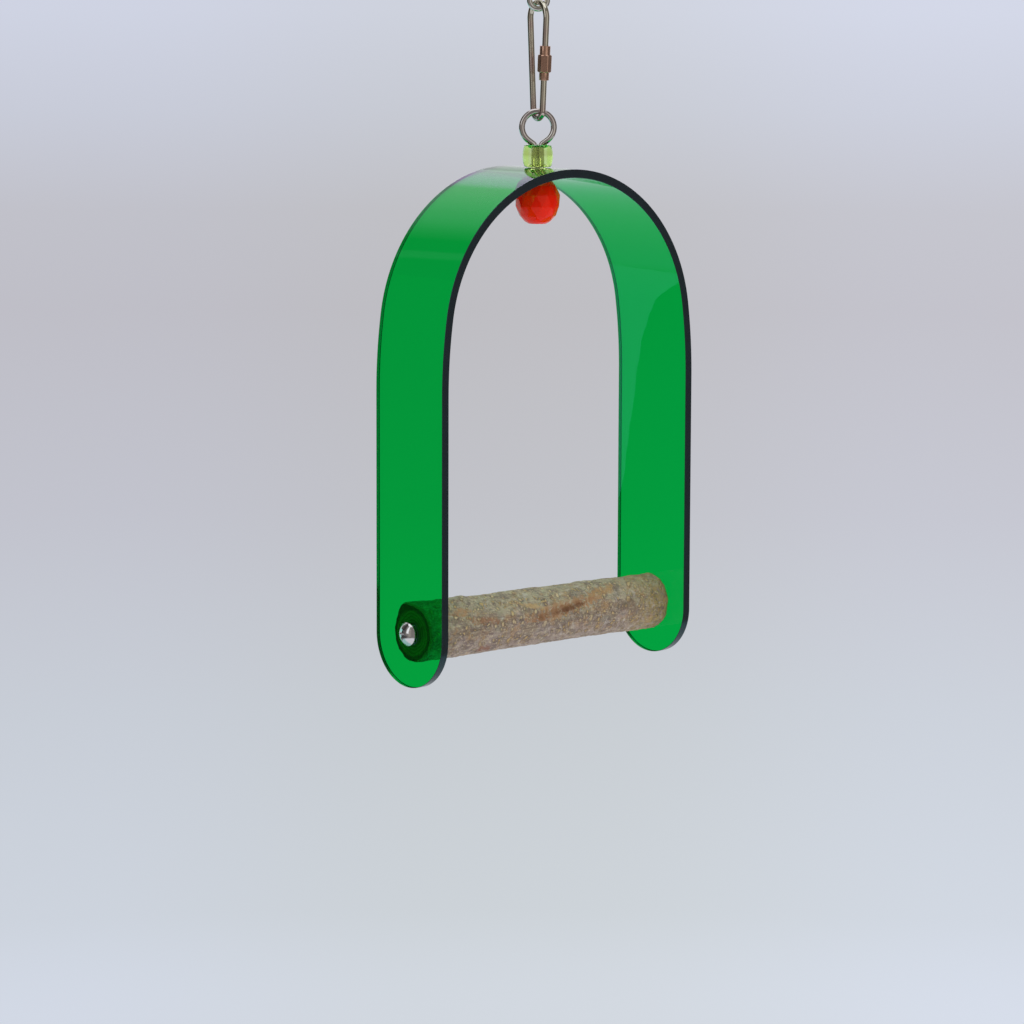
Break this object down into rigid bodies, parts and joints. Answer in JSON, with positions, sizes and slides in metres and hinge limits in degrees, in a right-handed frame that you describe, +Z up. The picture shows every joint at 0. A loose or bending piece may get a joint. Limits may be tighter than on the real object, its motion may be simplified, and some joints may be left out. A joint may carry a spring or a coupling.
{
  "type": "bird swing",
  "caption": "Arched see-through strip carrying a bark-covered branch perch, hung by a wire eye between beads from a screw-gate link and a short chain, for a caged bird.",
  "frame": {"origin": "inner top of the uppermost chain link, where the swing is hung", "axes": "+Z up along the hanging line, +X across the arch, +Y from front to back along the arch's width"},
  "size_m": [0.1244, 0.0354, 0.2727],
  "materials": {
    "arch_green": "polished see-through green acrylic, dark where its cut edges are seen",
    "bark": "natural bark, grey-green and tan above, purple-brown below, with fine pale specks",
    "screw_steel": "bright plated",
    "wire_steel": "bright plated wire",
    "lime_bead": "glossy see-through lime",
    "red_bead": "glossy see-through red with flat facets",
    "link_steel": "bright plated wire",
    "sleeve_steel": "bright plated, turned",
    "chain_steel": "bright plated, welded"
  },
  "bodies": {
    "hanger": {"top_link": "chain_steel"},
    "middle_chain": {"middle_link": "chain_steel"},
    "lower_chain": {"lower_link": "chain_steel"},
    "connector": {"screw_link": "link_steel"},
    "gate": {"sleeve": "sleeve_steel"},
    "pin": {"eye_pin": "wire_steel"},
    "upper_spinner": {"upper_bead": "lime_bead"},
    "lower_spinner": {"lower_bead": "red_bead"},
    "swing": {"arch": "arch_green", "perch": "bark", "left_screw": "screw_steel", "right_screw": "screw_steel"}
  },
  "joints": [
    {"name": "middle_swing", "type": "hinge", "parent": "hanger", "child": "middle_chain", "pos_m": [0, 0, -0.013], "axis": [0.749, -0.6626, 0], "range_deg": [-60, 60]},
    {"name": "lower_swing", "type": "hinge", "parent": "middle_chain", "child": "lower_chain", "pos_m": [0, 0, -0.0247], "axis": [0.6626, 0.749, 0], "range_deg": [-60, 60]},
    {"name": "link_swing", "type": "hinge", "parent": "lower_chain", "child": "connector", "pos_m": [0, 0, -0.0364], "axis": [0.9336, -0.3584, 0], "range_deg": [-45, 45]},
    {"name": "sleeve_slide", "type": "slide", "parent": "connector", "child": "gate", "axis": [-0.0144, -0.0708, 0.9974], "range_m": [0, 0.008]},
    {"name": "pin_swing", "type": "hinge", "parent": "connector", "child": "pin", "pos_m": [0, 0, -0.07455], "axis": [0.5446, 0.8387, 0], "range_deg": [-45, 45]},
    {"name": "upper_bead_spin", "type": "hinge", "parent": "pin", "child": "upper_spinner", "pos_m": [0, 0, -0.08775], "axis": [0, 0, 1], "continuous": true},
    {"name": "lower_bead_spin", "type": "hinge", "parent": "pin", "child": "lower_spinner", "pos_m": [0, 0, -0.10325], "axis": [0, 0, 1], "continuous": true},
    {"name": "swing_spin", "type": "hinge", "parent": "pin", "child": "swing", "pos_m": [0, 0, -0.09325], "axis": [0, 0, 1], "continuous": true}
  ]
}
